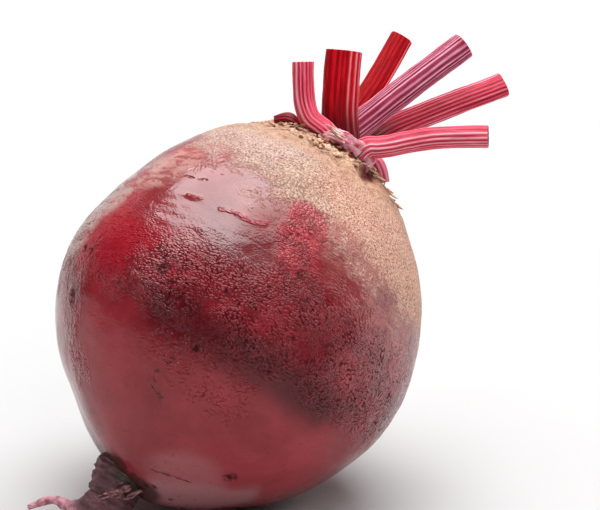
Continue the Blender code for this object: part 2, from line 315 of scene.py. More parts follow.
# Dry shreds: dark, middle and pale colours, and the size of their patches in metres
SHREDS = {
    "pale fibres": ((0.8, 0.3, 0.32), (0.94, 0.62, 0.57), (0.97, 0.82, 0.75), 0.0016),
    "corky scales": ((0.54, 0.26, 0.15), (0.8, 0.52, 0.34), (0.92, 0.74, 0.57), 0.0012),
    "corky crust": ((0.42, 0.18, 0.1), (0.74, 0.45, 0.29), (0.88, 0.66, 0.49), 0.0011),
    "maroon scales": ((0.06, 0.005, 0.008), (0.22, 0.018, 0.026), (0.48, 0.13, 0.14), 0.0014),
    "rootlet skin": ((0.15, 0.04, 0.05), (0.36, 0.13, 0.15), (0.6, 0.33, 0.34), 0.0012),
}

# Torn leaf bases: bearings where their front and its tall part start, are full, start to fade and end
SHEATH_FRONT = (-113.0, -102.0, -50.0, -38.0)
SHEATH_TALL = (-104.0, -90.0, -66.0, -50.0)
SHEATH_ROWS = 28
SHEATH_COLUMNS = 560
SHEATH_RADIUS = 0.0116
SHEATH_HALF_HEIGHT = 0.0011
SHEATH_HALF_DEPTH = 0.0011
SHEATH_LEAN = 0.3
SHEATH_LUMP_SIZE = 0.0022
SHEATH_GRAIN_SIZE = 0.0009

# Small pieces round the crown: seed, count, and spans of bearing, distance from the axis, length and lift
FRONT_FIBRES = (5, 16, (-96.0, -84.0), (0.0144, 0.0152), (0.0022, 0.004), (0.0022, 0.0042))
CROWN_FIBRES = (6, 70, (-180.0, 180.0), (0.0118, 0.015), (0.001, 0.0028), (0.0006, 0.0014))
MAROON_SCALES = (7, 16, (-98.0, -42.0), (0.0134, 0.015), (0.0018, 0.0034), (0.0004, 0.001))
CORKY_SCALES = (8, 64, (-180.0, 180.0), (0.0125, 0.0185), (0.0014, 0.0034), (0.0001, 0.0007))
CRUST_LUMPS = (13, 150, (-168.0, -66.0), (0.0136, 0.0182), (0.001, 0.0022), (-0.0004, 0.0001))

# Scales placed at the crown's outline: bearing, distance from the axis, length and lift
EDGE_SCALES = [
    (-26.0, 0.0192, 0.0026, 0.0006),
    (-18.0, 0.0206, 0.0026, 0.0004),
    (-9.0, 0.0198, 0.0022, 0.0004),
    (-134.8, 0.0124, 0.0034, 0.0014),
    (-133.0, 0.0128, 0.0036, 0.0012),
    (-130.5, 0.0124, 0.0034, 0.0014),
]

# Bearings that stay free of scales, at the hollows painted dark as shade
BARE_SPANS = ((-64.0, -40.0), (-144.0, -135.0))

# Form of a scale: its most turn, its width and thickness as shares of its length, and its curl
FLAKE = (0.9, (0.4, 0.65), (0.16, 0.26), 0.25)
LUMP = (1.6, (0.65, 0.95), (0.5, 0.75), 0.05)

# Fibres: their material, places, span of radii, ways round the crown and seed
FIBRES = {
    "front_fibres": ("pale fibres", FRONT_FIBRES, (0.0002, 0.00036), (-1.0,), 5),
    "crown_fibres": ("corky scales", CROWN_FIBRES, (0.00013, 0.00026), (-1.0, 1.0), 6),
}

# Scales: their material, scattered places, further places, form and seed
SCALES = {
    "maroon_scales": ("maroon scales", MAROON_SCALES, [], FLAKE, 7),
    "corky_scales": ("corky scales", CORKY_SCALES, EDGE_SCALES, FLAKE, 8),
    "crust_lumps": ("corky crust", CRUST_LUMPS, [], LUMP, 9),
}
FIBRE_STEPS = 8
SCALE_STEPS = 10
SCALE_SIDES = 12
SCALE_GRAIN_DEPTH = 0.00018
SCALE_GRAIN_SIZE = 0.0006

# Rootlets
ROOTLET_SEED = 11
ROOTLET_COUNT = 11
ROOTLET_STEPS = 13
ROOTLET_SIDES = 8
ROOTLET_RADII = (0.00028, 0.00055)

# The overhead soft box, as seen from the beetroot, in metres and degrees
BOX_HEIGHT = 2.0
BOX_WIDTH = 2.2
BOX_DEPTH = 2.6
BOX_RIGHT = 0.05
BOX_FRONT = -0.6
BOX_TURN = 16.0
BOX_RADIANCE = 5.0

# Other lights: width, depth, how far right, in front and above the beetroot, and radiance
FILLS = {
    "side fill": (0.8, 0.9, (1.3, -0.5, 0.5), 2.0),
    "back panel": (2.6, 0.55, (-0.3, -1.7, 0.3), 0.75),
    "front fill": (0.7, 0.7, (0.4, 1.1, 1.15), 3.0),
}
ROOM_LIGHT = 0.05
ROOM_SEEN = 0.95
FLOOR_RADIUS = 1.6
FLOOR_DROP = 0.0002
FLOOR_GREY = 0.6

# Camera, in degrees and metres
VIEW_AZIMUTH = -41.5
VIEW_ELEVATION = 18.0
VIEW_DISTANCE = 0.9
VIEW_WIDTH = 0.1402
AIM_RIGHT = 0.016
AIM_UP = 0.0176
SENSOR_WIDTH = 36.0
CLIP_START = 0.01
CLIP_END = 50.0


def lay_over():
    """The matrix that takes the upright frame to the row frame."""
    turned = Matrix.Rotation(math.radians(LEAN), 4, "Y") @ Matrix.Rotation(math.radians(TURN), 4, "Z")
    return Matrix.Translation(BELLY_CENTRE) @ turned @ Matrix.Translation((0.0, 0.0, -BELLY_HEIGHT))


LAID = lay_over()


def blend(low, high, value):
    """Goes smoothly from 0 at low to 1 at high, for numbers and arrays."""
    share = np.clip((value - low) / (high - low), 0.0, 1.0)
    return share * share * (3.0 - 2.0 * share)


def field(points, size, offset=(0.0, 0.0, 0.0)):
    """Smooth noise at each point, about -1 to 1, with the size of its features along each axis."""
    scaled = points / np.asarray(size) + np.asarray(offset)
    return np.array([noise.noise(Vector(p)) for p in scaled])


def warp(points, size, most):
    """Moves each point a little by smooth noise along each axis."""
    offsets = ((0.0, 0.0, 0.0), (5.0, 0.0, 0.0), (0.0, 7.0, 0.0))
    return points + most * np.stack([field(points, size, offset) for offset in offsets], axis=1)


def body_profile(latitude):
    """The radius and height of the smooth swollen root at each latitude."""
    upper = latitude >= 0.0
    cosine = np.clip(np.cos(latitude), 0.0, 1.0)
    sine = np.abs(np.sin(latitude))
    radius = BELLY_RADIUS * np.where(upper, cosine, cosine ** (2.0 / LOWER_ROUNDNESS))
    rise = BELLY_HEIGHT + CROWN_RISE * sine
    drop = BELLY_HEIGHT * (1.0 - sine ** (2.0 / LOWER_FULLNESS))
    return radius, np.where(upper, rise, drop)


def main_surface(latitude, longitude):
    """Points of the skin with the main relief of the solids, and the way out at each."""
    radius, height = body_profile(latitude)
    lobes = np.zeros_like(radius)
    for middle, spread, bearing, rise in LOBES:
        side = np.maximum(np.cos(longitude - bearing), 0.0) ** 2
        lobes += rise * side * np.exp(-((height - middle) / spread) ** 2)
    points = np.stack([radius * np.cos(longitude), radius * np.sin(longitude), height], axis=1)
    outward = points - np.array([0.0, 0.0, BELLY_HEIGHT])
    outward /= np.linalg.norm(outward, axis=1)[:, None]
    crown = blend(KNOB_START, KNOB_FULL, height)
    swell = SWELL_DEPTH * field(points, SWELL_SIZE)
    knobs = KNOB_DEPTH * crown * field(points, KNOB_SIZE)
    rim = np.exp(-((radius - RIM_RADIUS) / RIM_SPREAD) ** 2) * crown
    rim *= RIM_RISE * (0.6 + 0.8 * field(points, KNOB_SIZE, (3.0, 0.0, 0.0)))
    return points + outward * (lobes + swell + knobs + rim)[:, None], outward


def skin_place(bearing, height):
    """The point of the plain skin at a bearing in degrees and a height in millimetres."""
    z = height / 1000.0
    if z >= BELLY_HEIGHT:
        radius = BELLY_RADIUS * math.sqrt(max(1.0 - ((z - BELLY_HEIGHT) / CROWN_RISE) ** 2, 0.0))
    else:
        drop = ((BELLY_HEIGHT - z) / BELLY_HEIGHT) ** LOWER_FULLNESS
        radius = BELLY_RADIUS * (1.0 - drop) ** (1.0 / LOWER_ROUNDNESS)
    angle = math.radians(bearing)
    return Vector((radius * math.cos(angle), radius * math.sin(angle), z))


def reach(points, start, end):
    """The distance of each point from the straight line between two places."""
    start = np.array(start)
    along = np.array(end) - start
    length = max(float(along @ along), 1e-12)
    share = np.clip((points - start) @ along / length, 0.0, 1.0)
    return np.linalg.norm(points - start - share[:, None] * along, axis=1)


def crown_share(points):
    """How corky the skin is at each point, from 0 to 1."""
    tilt = points @ np.array(CORK_TILT)
    return blend(-CORK_FADE, CORK_FADE, tilt - CORK_LEVEL)


def lay_down(name, mesh, materials):
    """Makes the piece: keeps each point's upright place for the patterns, then lays the mesh over."""
    kept = mesh.attributes.new("upright", "FLOAT_VECTOR", "POINT")
    places = np.empty(len(mesh.vertices) * 3, dtype=np.float32)
    mesh.vertices.foreach_get("co", places)
    kept.data.foreach_set("vector", places)
    mesh.transform(LAID)
    mesh.update()
    mesh.materials.clear()
    for material in materials:
        mesh.materials.append(material)
    item = bpy.data.objects.new(name, mesh)
    bpy.context.scene.collection.objects.link(item)
    return item


def shade_round(mesh, angle=60.0):
    mesh.shade_smooth()
    mesh.set_sharp_from_angle(angle=math.radians(angle))


def finish_piece(bm, name, materials, angle=70.0):
    """Makes the built mesh a piece with its faces turned outward."""
    bmesh.ops.recalc_face_normals(bm, faces=bm.faces)
    mesh = bpy.data.meshes.new(name)
    bm.to_mesh(mesh)
    bm.free()
    shade_round(mesh, angle)
    return lay_down(name, mesh, materials)


def join_rings(bm, rings, material_index=0):
    """Faces between each ring of vertices and the next."""
    for lower, upper in zip(rings[:-1], rings[1:]):
        for index in range(len(lower)):
            following = (index + 1) % len(lower)
            face = bm.faces.new((lower[index], lower[following], upper[following], upper[index]))
            face.material_index = material_index


def add_strand(bm, points, radius, sides=7, tip=0.15):
    """A thin tapering thread through the points, closed at both ends."""
    rings = []
    for index, place in enumerate(points):
        ahead = points[min(index + 1, len(points) - 1)]
        behind = points[max(index - 1, 0)]
        along = (ahead - behind).normalized()
        side = along.orthogonal().normalized()
        other = along.cross(side)
        share = index / (len(points) - 1)
        size = radius * (1.0 - (1.0 - tip) * share ** 1.5)
        rings.append([bm.verts.new(place + size * (side * math.cos(turn) + other * math.sin(turn)))
                      for turn in (2.0 * math.pi * k / sides for k in range(sides))])
    join_rings(bm, rings)
    bm.faces.new(reversed(rings[0]))
    bm.faces.new(rings[-1])


def skin_relief(points):
    """How far lumps, wrinkles, grain, cork, scars, pits and hollows raise or sink each point."""
    height = points[:, 2]
    corky = crown_share(points)
    leathery = 0.35 + 0.65 * blend(*BAND_FOOT, height) * (1.0 - blend(*BAND_TOP, height))
    around = (WRINKLE_LENGTH, WRINKLE_LENGTH, WRINKLE_PITCH)
    wrinkles = field(warp(points, WRINKLE_WARP_SIZE, WRINKLE_WARP), around)
    fine = LUMP_DEPTH * field(points, LUMP_SIZE)
    fine += WRINKLE_DEPTH * leathery * (1.0 - 0.5 * corky) * wrinkles
    fine += GRAIN_DEPTH * leathery * field(points, GRAIN_SIZE)
    crust = np.abs(field(points, CORK_SIZE)) + 0.5 * np.abs(field(points, CORK_SIZE / 2.0))
    crown = blend(*CRUST_EDGE, height)
    fine += CORK_DEPTH * (0.22 * corky + 0.9 * crown) * (0.5 - 1.6 * crust)
    for start, end, width in SCARS:
        near = reach(points, skin_place(*start), skin_place(*end))
        fine += SCAR_RISE * np.exp(-(near / width) ** 2) * (0.7 + 0.6 * field(points, SCAR_GRAIN))
    for marks, depth in ((PITS, PIT_DEPTH), (SHADED_HOLLOWS, HOLLOW_DEPTH)):
        for start, end, width in marks:
            near = reach(points, skin_place(*start), skin_place(*end))
            fine -= depth * np.exp(-(near / width) ** 2)
    return fine


def move_points(bm, points):
    for vert, place in zip(bm.verts, points):
        vert.co = place


def cut_rest_spot(bm):
    """Cuts off what would be under the floor, and closes the flat spot."""
    upright = LAID.inverted()
    floor_point = upright @ Vector((0.0, 0.0, 0.0))
    floor_normal = (upright.to_3x3() @ UP).normalized()
    bmesh.ops.bisect_plane(bm, geom=bm.verts[:] + bm.edges[:] + bm.faces[:], dist=1e-7,
                           plane_co=floor_point, plane_no=floor_normal, clear_inner=True)
    bmesh.ops.holes_fill(bm, edges=[e for e in bm.edges if e.is_boundary], sides=0)


def skin_directions():
    """The latitude and longitude of the skin's points: both poles, then each ring from the crown down."""
    shares = np.arange(1, SKIN_RINGS) / SKIN_RINGS
    turns = 2.0 * math.pi * np.arange(SKIN_SEGMENTS) / SKIN_SEGMENTS
    from_crown = np.append([0.0, 1.0], np.repeat(shares, SKIN_SEGMENTS))
    longitude = np.append([0.0, 0.0], np.tile(turns, SKIN_RINGS - 1))
    return math.pi * (0.5 - from_crown * (0.55 + 0.45 * from_crown)), longitude


def keep_patches(mesh):
    """Stores on each vertex how much it belongs to each broad patch of the skin."""
    places = warp(np.array([v.co for v in mesh.vertices]), PATCH_WARP_SIZE, PATCH_WARP)
    for name, (start, end, size) in PATCHES.items():
        ends = [skin_place(*place) if len(place) == 2 else Vector(place) for place in (start, end)]
        share = 1.0 - blend(FULL_SHARE * size, size, reach(places, *ends))
        kept = mesh.attributes.new("patch_" + name, "FLOAT", "POINT")
        kept.data.foreach_set("value", share.astype(np.float32))


def build_skin(material):
    """The swollen root: fine rings close together at the crown, and a flat rest spot."""
    points, outward = main_surface(*skin_directions())
    points = points + outward * skin_relief(points)[:, None]
    bm = bmesh.new()
    crown, foot, *verts = [bm.verts.new(place) for place in points]
    rings = [verts[start:start + SKIN_SEGMENTS] for start in range(0, len(verts), SKIN_SEGMENTS)]
    join_rings(bm, rings[::-1])
    for index in range(SKIN_SEGMENTS):
        following = (index + 1) % SKIN_SEGMENTS
        bm.faces.new((crown, rings[0][index], rings[0][following]))
        bm.faces.new((foot, rings[-1][following], rings[-1][index]))
    cut_rest_spot(bm)
    mesh = bpy.data.meshes.new("skin")
    bm.to_mesh(mesh)
    bm.free()
    shade_round(mesh)
    keep_patches(mesh)
    return lay_down("skin", mesh, [material])


def taproot_mesh():
    """The smooth tapering root, as a curve with the radii of its points made a mesh."""
    curve = bpy.data.curves.new("taproot_curve", "CURVE")
    curve.dimensions = "3D"
    curve.bevel_depth = 1.0
    curve.bevel_resolution = 34
    curve.resolution_u = 44
    curve.use_fill_caps = True
    spline = curve.splines.new("BEZIER")
    spline.bezier_points.add(len(TAPROOT) - 1)
    for knot, (place, radius) in zip(spline.bezier_points, TAPROOT):
        knot.co = place
        knot.radius = radius
        knot.handle_left_type = "AUTO"
        knot.handle_right_type = "AUTO"
    guide = bpy.data.objects.new("taproot_curve", curve)
    bpy.context.scene.collection.objects.link(guide)
    bpy.context.view_layer.update()
    mesh = bpy.data.meshes.new_from_object(guide.evaluated_get(bpy.context.evaluated_depsgraph_get()))
    bpy.data.objects.remove(guide, do_unlink=True)
    return mesh


def build_taproot(material):
    """The tapering root with wrinkles across it, which are deeper where it is thick."""
    mesh = taproot_mesh()
    bm = bmesh.new()
    bm.from_mesh(mesh)
    bmesh.ops.remove_doubles(bm, verts=bm.verts, dist=0.000005)
    bm.normal_update()
    points = np.array([v.co for v in bm.verts])
    normals = np.array([v.normal for v in bm.verts])
    spread = np.min([np.linalg.norm(points - np.array(place), axis=1) for place, radius in TAPROOT], axis=0)
    thick = blend(0.0007, 0.006, spread)
    folds = 1.0 - 2.0 * np.abs(field(points, FOLD_SIZE, (2.0, 1.0, 0.0)))
    relief = ROOT_LUMP_DEPTH * thick * field(points, ROOT_LUMP_SIZE)
    relief += FOLD_DEPTH * thick * folds
    relief += ROOT_GRAIN_DEPTH * (0.3 + thick) * field(points, ROOT_GRAIN_SIZE)
    move_points(bm, points + normals * relief[:, None])
    bm.to_mesh(mesh)
    bm.free()
    shade_round(mesh)
    return lay_down("taproot", mesh, [material])


def route_point(route, place):
    """A point of the smooth curve through the route's points, with place from 0 to their count less 1."""
    index = min(int(place), len(route) - 2)
    share = place - index
    before = Vector(route[max(index - 1, 0)])
    start = Vector(route[index])
    end = Vector(route[index + 1])
    after = Vector(route[min(index + 2, len(route) - 1)])
    out = (end - before) / 2.0
    back = (after - start) / 2.0
    return (start * (2 * share ** 3 - 3 * share ** 2 + 1) + out * (share ** 3 - 2 * share ** 2 + share)
            + end * (3 * share ** 2 - 2 * share ** 3) + back * (share ** 3 - share ** 2))


def rib_strengths(form, seed):
    """How proud and how pale each rib is: uneven on pink stalks, faint on red ones but for one side."""
    choose = random.Random(seed)
    pale_side = form.get("pale_ribs")
    if pale_side is None:
        return [choose.uniform(form.get("least", 0.35), 1.0) for rib in range(form["ribs"])]
    return [1.0 if rib in pale_side else choose.uniform(0.08, 0.34) for rib in range(form["ribs"])]


def stalk_section(form, step):
    """The centre, the two directions across, the width and the thickness of a stalk at one ring."""
    route = form["route"]
    spans = len(route) - 1
    place = spans * step / STALK_RINGS
    ahead = route_point(route, min(place + TANGENT_STEP, spans))
    behind = route_point(route, max(place - TANGENT_STEP, 0.0))
    along = (ahead - behind).normalized()
    across = along.cross(Vector(form["back"])).normalized()
    flare = 1.0 + (form["flare"] - 1.0) * (1.0 - float(blend(0.0, FLARE_END, step / STALK_RINGS)))
    taper = 1.0 - (1.0 - form.get("tip", 1.0)) * float(blend(TIP_START, 1.0, step / STALK_RINGS))
    width = form["width"] * flare * taper
    thickness = form["thickness"] * (0.4 + 0.6 * taper)
    return route_point(route, place), across, across.cross(along), width, thickness


def rib_rise(strength, angle, travelled, seed):
    """How far a stalk's side rises at an angle round it, and how near the place is to a rib's crest."""
    ribs = len(strength)
    sway = RIB_SWAY * noise.noise(Vector((math.cos(angle) * 1.3, math.sin(angle) * 1.3, seed + 0.5)))
    sway += 0.15 * noise.noise(Vector((math.cos(angle), math.sin(angle) + seed, travelled / 0.012)))
    phase = angle * ribs / (2.0 * math.pi) + sway
    rib = round(phase) % ribs
    crest = (0.5 + 0.5 * math.cos(2.0 * math.pi * phase)) ** 1.4 * strength[rib]
    wander = noise.noise(Vector((rib * 3.7, travelled / 0.01, seed)))
    rise = RIB_DEPTH * crest * (1.0 + 0.5 * wander)
    rough = STALK_GRAIN_DEPTH * noise.noise(Vector((angle * 5.0, travelled / 0.0015, seed)))
    bulge = BULGE_DEPTH * noise.noise(Vector((angle, travelled / 0.006, seed + 9.0)))
    return rise + rough + bulge, crest


def add_sides(bm, layers, form, seed):
    """The ribbed side of a stalk, from its foot to its cut end."""
    strength = rib_strengths(form, seed)
    sides = form["ribs"] * STALK_SIDES_PER_RIB
    rings = []
    travelled = 0.0
    last = None
    for step in range(STALK_RINGS + 1):
        centre, across, outward, width, thickness = stalk_section(form, step)
        travelled += (centre - last).length if last else 0.0
        last = centre
        ring = []
        for index in range(sides):
            angle = 2.0 * math.pi * index / sides
            swell, crest = rib_rise(strength, angle, travelled, seed)
            x = (width / 2.0 + swell) * math.cos(angle)
            y = (thickness / 2.0 + swell) * math.sin(angle) - CHANNEL * width * math.cos(angle) ** 2
            vert = bm.verts.new(centre + across * x + outward * y)
            vert[layers[0]] = crest
            vert[layers[1]] = Vector((math.cos(angle), math.sin(angle), travelled * 100.0))
            ring.append(vert)
        rings.append(ring)
    join_rings(bm, rings)
    bm.faces.new(reversed(rings[0]))
    return rings[-1]


def add_cut_end(bm, layers, route, rim):
    """The square cut end of a stalk, slightly dished and grainy."""
    spans = len(route) - 1
    centre = sum((v.co for v in rim), Vector()) / len(rim)
    along = (route_point(route, spans) - route_point(route, spans - TANGENT_STEP)).normalized()
    dish = [rim]
    for shrink, dip in END_DISH:
        inner = []
        for index, corner in enumerate(rim):
            place = centre + (corner.co - centre) * shrink
            grain = CUT_GRAIN_DEPTH * noise.noise(place * CUT_GRAIN_SCALE)
            vert = bm.verts.new(place - along * (dip + grain))
            vert[layers[0]] = CUT_CREST
            vert[layers[1]] = Vector((shrink, index / len(rim), 0.0))
            inner.append(vert)
        dish.append(inner)
    join_rings(bm, dish, 1)
    bm.faces.new(dish[-1]).material_index = 1


def build_stalk(name, form, materials, seed):
    """A ribbed stalk: rounded ribs of uneven width and height, and a cut end."""
    bm = bmesh.new()
    crest_layer = bm.verts.layers.float.new("crest")
    fibre_layer = bm.verts.layers.float_vector.new("fibre")
    layers = (crest_layer, fibre_layer)
    rim = add_sides(bm, layers, form, seed)
    add_cut_end(bm, layers, form["route"], rim)
    return finish_piece(bm, name + "_fine", materials)


class Nodes:
    """A short way to write a material's nodes: each call makes one node and gives back its output."""

    def __init__(self, name):
        self.material = bpy.data.materials.new(name)
        self.material.use_nodes = True
        self.tree = self.material.node_tree
        self.shader = self.tree.nodes["Principled BSDF"]
        self.place = self.kept("upright", "Vector")

    def make(self, kind, inputs, output=0, **settings):
        node = self.tree.nodes.new(kind)
        for key, value in settings.items():
            setattr(node, key, value)
        for key, value in inputs.items():
            self.put(node.inputs[key], value)
        return node.outputs[output]

    def put(self, socket, value):
        if isinstance(value, bpy.types.NodeSocket):
            self.tree.links.new(value, socket)
        else:
            socket.default_value = value

    def kept(self, name, output="Fac"):
        """A value that the mesh keeps at each vertex."""
        return self.make("ShaderNodeAttribute", {}, output, attribute_name=name)

    def patch(self, name):
        return self.kept("patch_" + name)

    def math(self, operation, first, second=0.0, third=0.0, clamp=False):
        values = {0: first, 1: second, 2: third}
        return self.make("ShaderNodeMath", values, operation=operation, use_clamp=clamp)

    def add(self, first, second):
        return self.math("ADD", first, second)

    def times(self, first, *others):
        """The product of the values."""
        for other in others:
            first = self.math("MULTIPLY", first, other)
        return first

    def highest(self, first, *others):
        """The greatest of the values."""
        for other in others:
            first = self.math("MAXIMUM", first, other)
        return first

    def scaled(self, value, factor, shift):
        """The value times the factor, plus the shift."""
        return self.math("MULTIPLY_ADD", value, factor, shift)

    def vector(self, operation, first, second, output=0):
        key = "Scale" if operation == "SCALE" else 1
        return self.make("ShaderNodeVectorMath", {0: first, key: second}, output, operation=operation)

    def along(self, axis, vector):
        """One coordinate of a vector: 0 for X, 1 for Y and 2 for Z."""
        return self.make("ShaderNodeSeparateXYZ", {0: vector}, axis)

    def noise(self, vector, size, detail=2.0, roughness=0.5, twist=0.0):
        inputs = {"Vector": vector, "Scale": 1.0 / size, "Detail": detail, "Roughness": roughness,
                  "Distortion": twist}
        return self.make("ShaderNodeTexNoise", inputs)

    def cells(self, vector, scale):
        return self.make("ShaderNodeTexVoronoi", {"Vector": vector, "Scale": scale}, "Distance")

    def stretch(self, vector, scale):
        return self.make("ShaderNodeMapping", {"Vector": vector, "Scale": scale})

    def step(self, value, low, high, floor=0.0, top=1.0):
        inputs = {"Value": value, "From Min": low, "From Max": high, "To Min": floor, "To Max": top}
        return self.make("ShaderNodeMapRange", inputs, interpolation_type="SMOOTHSTEP")

    def mix(self, share, first, second):
        node = self.tree.nodes.new("ShaderNodeMix")
        node.data_type = "RGBA"
        self.put(node.inputs[0], share)
        self.put(node.inputs[6], first)
        self.put(node.inputs[7], second)
        return node.outputs[2]

    def paint(self, base, share, weight, colour):
        """Lays a colour over the base where the share says, at most at the weight."""
        return self.mix(self.times(share, weight), base, rgb(*colour))

    def ramp(self, value, stops):
        """Colours at positions from 0 to 1."""
        node = self.tree.nodes.new("ShaderNodeValToRGB")
        self.put(node.inputs[0], value)
        elements = node.color_ramp.elements
        while len(elements) < len(stops):
            elements.new(0.5)
        for element, (position, colour) in zip(elements, stops):
            element.position = position
            element.color = rgb(*colour)
        return node.outputs[0]

    def stroke(self, vector, start, end, width):
        """1 on the line between two places, falling to 0 past the width."""
        start = Vector(start)
        run = Vector(end) - start
        if run.length < 1e-6:
            distance = self.vector("DISTANCE", vector, start, "Value")
        else:
            relative = self.vector("SUBTRACT", vector, start)
            share = self.vector("DOT_PRODUCT", relative, run / run.length_squared, "Value")
            share = self.math("ADD", share, 0.0, clamp=True)
            distance = self.vector("DISTANCE", relative, self.vector("SCALE", run, share), "Value")
        return self.step(distance, width, FULL_SHARE * width)

    def marks(self, vector, marks, widened):
        """1 on every mark, each given as its two ends on the skin and its half width."""
        return self.highest(*[self.stroke(vector, skin_place(*start), skin_place(*end), width * widened)
                              for start, end, width in marks])

    def bump(self, height, distance, strength):
        """Turns the height into the shader's normal."""
        normal = self.make("ShaderNodeBump", {"Height": height, "Distance": distance, "Strength": strength})
        self.put(self.shader.inputs["Normal"], normal)

    def finish(self, colour, roughness, gloss=None, glow=None):
        """Sets the colour, roughness, gloss, and depth and colour of the light that soaks in."""
        self.put(self.shader.inputs["Base Color"], colour)
        self.put(self.shader.inputs["Roughness"], roughness)
        if gloss is not None:
            self.put(self.shader.inputs["Specular IOR Level"], gloss)
        if glow:
            for name, value in zip(("Weight", "Radius", "Scale"), glow):
                self.put(self.shader.inputs["Subsurface " + name], value)
        return self.material


def rgb(red, green, blue):
    return (red, green, blue, 1.0)


def add_skin_places(n):
    """The places, height and broad patches that the skin's patterns share."""
    n.height = n.along(2, n.place)
    warp = n.make("ShaderNodeTexNoise", {"Vector": n.place, "Scale": 140.0, "Detail": 3.0}, 1)
    shift = n.vector("SCALE", n.vector("SUBTRACT", warp, (0.5, 0.5, 0.5)), 0.004)
    n.warped = n.vector("ADD", n.place, shift)
    n.around = n.stretch(n.warped, (0.3, 0.3, 1.0))
    n.ruffled = n.add(n.height, n.scaled(n.noise(n.place, 0.012, 4.0, 0.6), 0.014, -0.007))
    n.vivid = n.patch("vivid")
    n.tongue = n.patch("tongue")
    n.glare = n.patch("glare")
    n.dull = n.patch("dull")


def cork_level(n):
    """How far each point is above the frayed lower edge of the cork."""
    level = n.math("SUBTRACT", n.vector("DOT_PRODUCT", n.place, CORK_TILT, "Value"), CORK_LEVEL)
    broad = n.scaled(n.noise(n.place, 0.01, 4.0, 0.6), 0.022, -0.011)
    frayed = n.scaled(n.noise(n.around, 0.0016, 4.0, 0.65), 0.012, -0.006)
    level = n.add(n.add(level, broad), frayed)
    return n.math("SUBTRACT", level, n.times(n.highest(n.tongue, n.patch("shoulder")), 0.009))


def leather_share(n):
    """Where the skin is leathery: a broken band round the belly, the tongue and scattered spots."""
    leather = n.times(n.step(n.ruffled, 0.031, 0.038), n.step(n.ruffled, 0.062, 0.05, 0.2, 1.0))
    leather = n.times(leather, n.step(n.noise(n.place, 0.014, 2.0), 0.3, 0.46, 0.45, 1.0))
    leather = n.times(leather, n.scaled(n.patch("sheen"), -0.92, 1.0))
    leather = n.highest(leather, n.times(n.tongue, 0.8))
    outliers = n.highest(n.patch("low_grain"), n.patch("left_strip"))
    spots = n.step(n.noise(n.place, 0.004, 3.0, 0.6), 0.42, 0.54, 0.0, 0.6)
    return n.highest(leather, n.times(outliers, spots))


def leather_relief(n):
    """The heights of the small wrinkles and pebbles, and how strong they are."""
    cell = n.cells(n.stretch(n.warped, (0.65, 0.65, 1.0)), 2150.0)
    pebble = n.math("SUBTRACT", 1.0, n.times(cell, cell))
    wrinkle = n.noise(n.around, 0.001, 4.0, 0.65, 0.4)
    relief = n.scaled(wrinkle, 0.4, n.times(pebble, 0.6))
    strength = n.times(n.scaled(leather_share(n), 0.9, 0.07), n.scaled(n.vivid, -0.6, 1.0))
    strength = n.times(strength, n.step(n.noise(n.place, 0.0038, 2.0, 0.5), 0.36, 0.56, 0.6, 1.12))
    return relief, strength


def smooth_red(n):
    """The ground colour of the red skin: crimson above, mauve below, partly its own tone and partly a
    painted floor reflection, and a dark band between them, painted as the dark room's reflection, with paler
    painted floor reflections low at the front.
    """
    crimson = n.ramp(n.noise(n.place, 0.01, 6.0, 0.65), CRIMSONS)
    crimson = n.paint(crimson, n.vivid, 0.6, (0.43, 0.014, 0.028))
    crimson = n.paint(crimson, n.glare, 0.6, (0.19, 0.034, 0.038))
    # Mauve below, partly the skin's own tone and partly a painted floor reflection
    mauve = n.ramp(n.noise(n.place, 0.016, 4.0, 0.6), MAUVES)
    # Painted floor reflection: paler mauve low on the front
    mauve = n.paint(mauve, n.patch("low_floor_reflection"), 0.75, (0.44, 0.19, 0.205))
    red = n.mix(n.step(n.height, 0.036, 0.026), crimson, mauve)
    # Painted reflection: a dark band that stands in for the dark room's reflection
    band = n.times(n.step(n.height, 0.026, 0.034), n.step(n.height, 0.043, 0.038), n.patch("low_right"))
    red = n.paint(red, band, 0.8, (0.07, 0.003, 0.006))
    # Painted floor reflection: paler at the foot
    return n.paint(red, n.patch("foot_floor_reflection"), 0.42, (0.46, 0.19, 0.205))


def red_skin(n, relief, strength, painted_crevice_shade, earthy):
    """The red skin with painted shade in the gaps between the pebbles and painted highlights on their tops,
    flecks, peeling with a painted rim sheen, and dry and earthy patches.
    """
    # Painted highlight: the pebbles' tops painted paler
    high = n.times(n.step(relief, 0.66, 0.78), strength)
    blotch = n.times(n.tongue, n.step(n.noise(n.place, 0.003, 4.0, 0.7), 0.4, 0.6, 0.25, 1.0))
    veins = n.noise(n.around, 0.00075, 4.0, 0.7)
    flecks = n.times(n.step(veins, 0.58, 0.7), n.step(n.noise(n.place, 0.007, 3.0), 0.46, 0.6))
    # Peeling on the left side, its pale grey partly a painted rim sheen
    peel_and_rim_sheen = n.times(n.patch("left_side"), n.step(n.noise(n.around, 0.0042, 5.0, 0.7), 0.44, 0.6))
    dry = n.times(n.patch("upper_left"), n.step(n.noise(n.around, 0.003, 5.0, 0.7), 0.38, 0.54))
    peach = n.times(n.patch("peach"), n.step(n.noise(n.around, 0.0016, 4.0, 0.7), 0.4, 0.54, 0.25, 1.0))
    red = smooth_red(n)
    for share, weight, colour in (
        # painted shade in the gaps between the pebbles
        (painted_crevice_shade, 0.85, (0.08, 0.004, 0.008)),
        (n.dull, 0.35, (0.15, 0.005, 0.01)),
        # painted highlight on the pebbles' tops
        (high, 0.28, (0.56, 0.055, 0.07)),
        (blotch, 0.55, (0.64, 0.06, 0.08)),
        (flecks, 0.55, (0.05, 0.008, 0.01)),
        (peel_and_rim_sheen, 0.22, (0.42, 0.24, 0.23)),
        (dry, 0.7, (0.52, 0.37, 0.33)),
        (peach, 0.8, (0.62, 0.32, 0.28)),
        (earthy, 0.85, (0.05, 0.024, 0.018)),
    ):
        red = n.paint(red, share, weight, colour)
    return red


